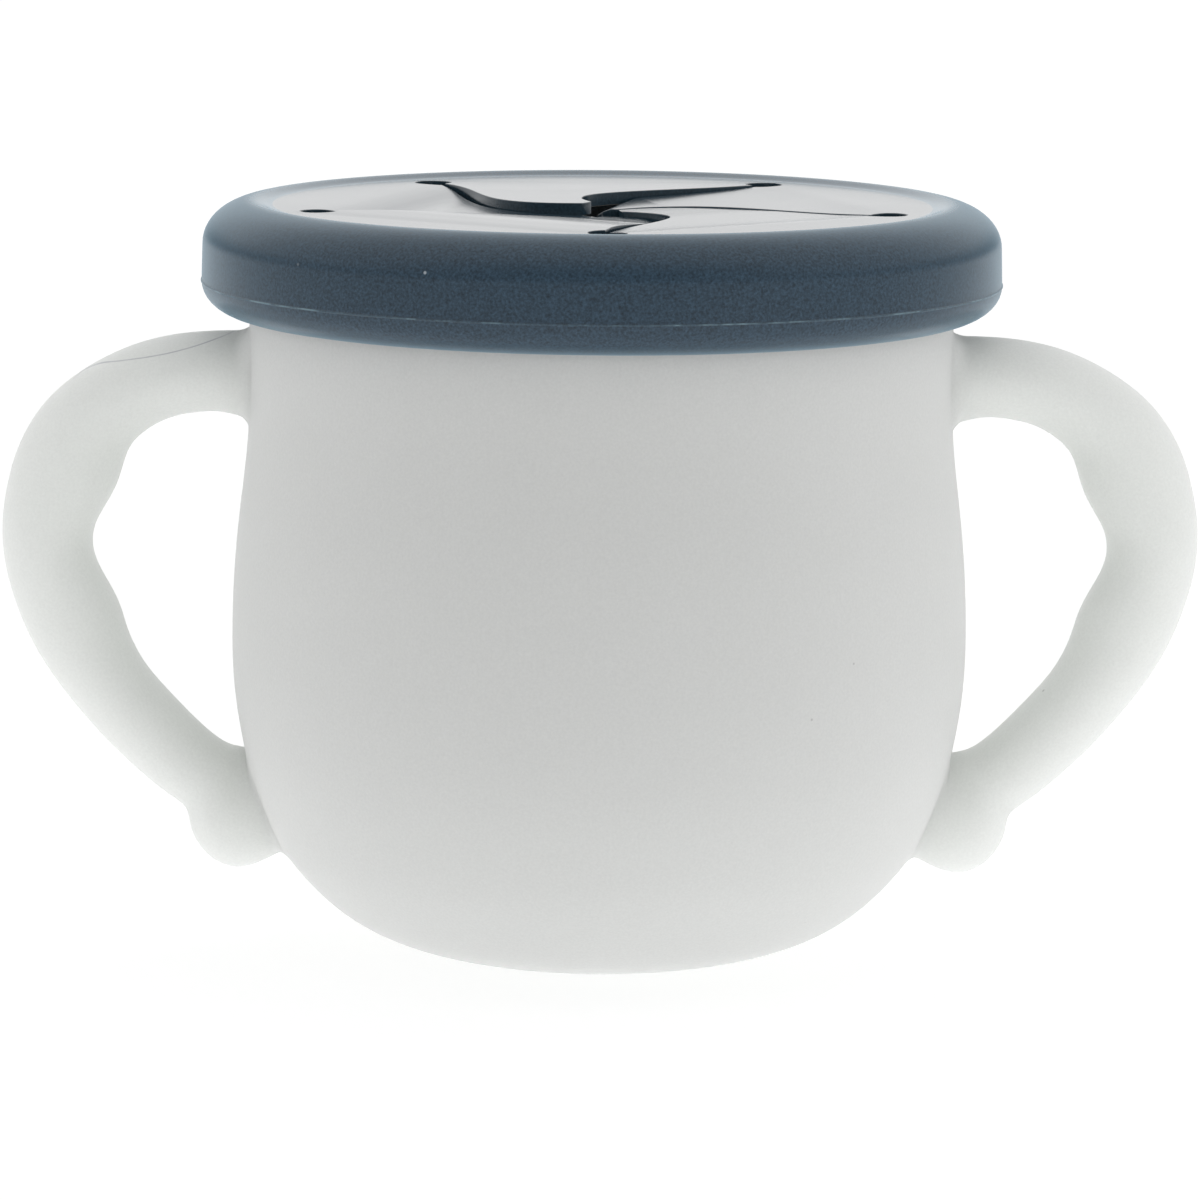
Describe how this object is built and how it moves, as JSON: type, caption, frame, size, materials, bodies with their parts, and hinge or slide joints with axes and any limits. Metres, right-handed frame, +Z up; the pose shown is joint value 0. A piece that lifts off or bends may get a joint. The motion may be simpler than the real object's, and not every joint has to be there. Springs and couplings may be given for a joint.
{
  "type": "toddler snack cup",
  "caption": "Round-bellied soft silicone snack cup with two finger-grip handles and a push-on lid whose thin membrane is slit into swirled flaps for a small hand.",
  "frame": {"origin": "middle of the base, on the surface that the cup stands on", "axes": "+Z up through the cup, +X towards the right-hand handle, +Y to the back"},
  "size_m": [0.14, 0.093, 0.0875],
  "materials": {
    "cup": "matte, pale grey silicone",
    "lid": "matte, slate blue silicone with a fine dusty grain"
  },
  "bodies": {
    "cup": {"cup_body": "cup", "handle_left": "cup", "handle_right": "cup"},
    "lid": {"lid_ring": "lid"},
    "flap_1": {"lid_flap_1": "lid"},
    "flap_2": {"lid_flap_2": "lid"},
    "flap_3": {"lid_flap_3": "lid"},
    "flap_4": {"lid_flap_4": "lid"},
    "flap_5": {"lid_flap_5": "lid"}
  },
  "joints": [
    {"name": "lid_lift", "type": "slide", "parent": "cup", "child": "lid", "axis": [0, 0, 1], "range_m": [0, 0.04]},
    {"name": "flap_1_bend", "type": "hinge", "parent": "lid", "child": "flap_1", "pos_m": [-0.00048, 0.02766, 0.08605], "axis": [0.9998, 0.0175, 0], "range_deg": [-40, 60], "stiffness_Nm_per_rad": 0.03},
    {"name": "flap_2_bend", "type": "hinge", "parent": "lid", "child": "flap_2", "pos_m": [-0.02646, 0.00809, 0.08605], "axis": [0.2924, 0.9563, 0], "range_deg": [-40, 60], "stiffness_Nm_per_rad": 0.03},
    {"name": "flap_3_bend", "type": "hinge", "parent": "lid", "child": "flap_3", "pos_m": [-0.01587, -0.02267, 0.08605], "axis": [-0.8192, 0.5736, 0], "range_deg": [-40, 60], "stiffness_Nm_per_rad": 0.03},
    {"name": "flap_4_bend", "type": "hinge", "parent": "lid", "child": "flap_4", "pos_m": [0.01665, -0.0221, 0.08605], "axis": [-0.7986, -0.6018, 0], "range_deg": [-40, 60], "stiffness_Nm_per_rad": 0.03},
    {"name": "flap_5_bend", "type": "hinge", "parent": "lid", "child": "flap_5", "pos_m": [0.02616, 0.00901, 0.08605], "axis": [0.3256, -0.9455, 0], "range_deg": [-40, 60], "stiffness_Nm_per_rad": 0.03}
  ]
}
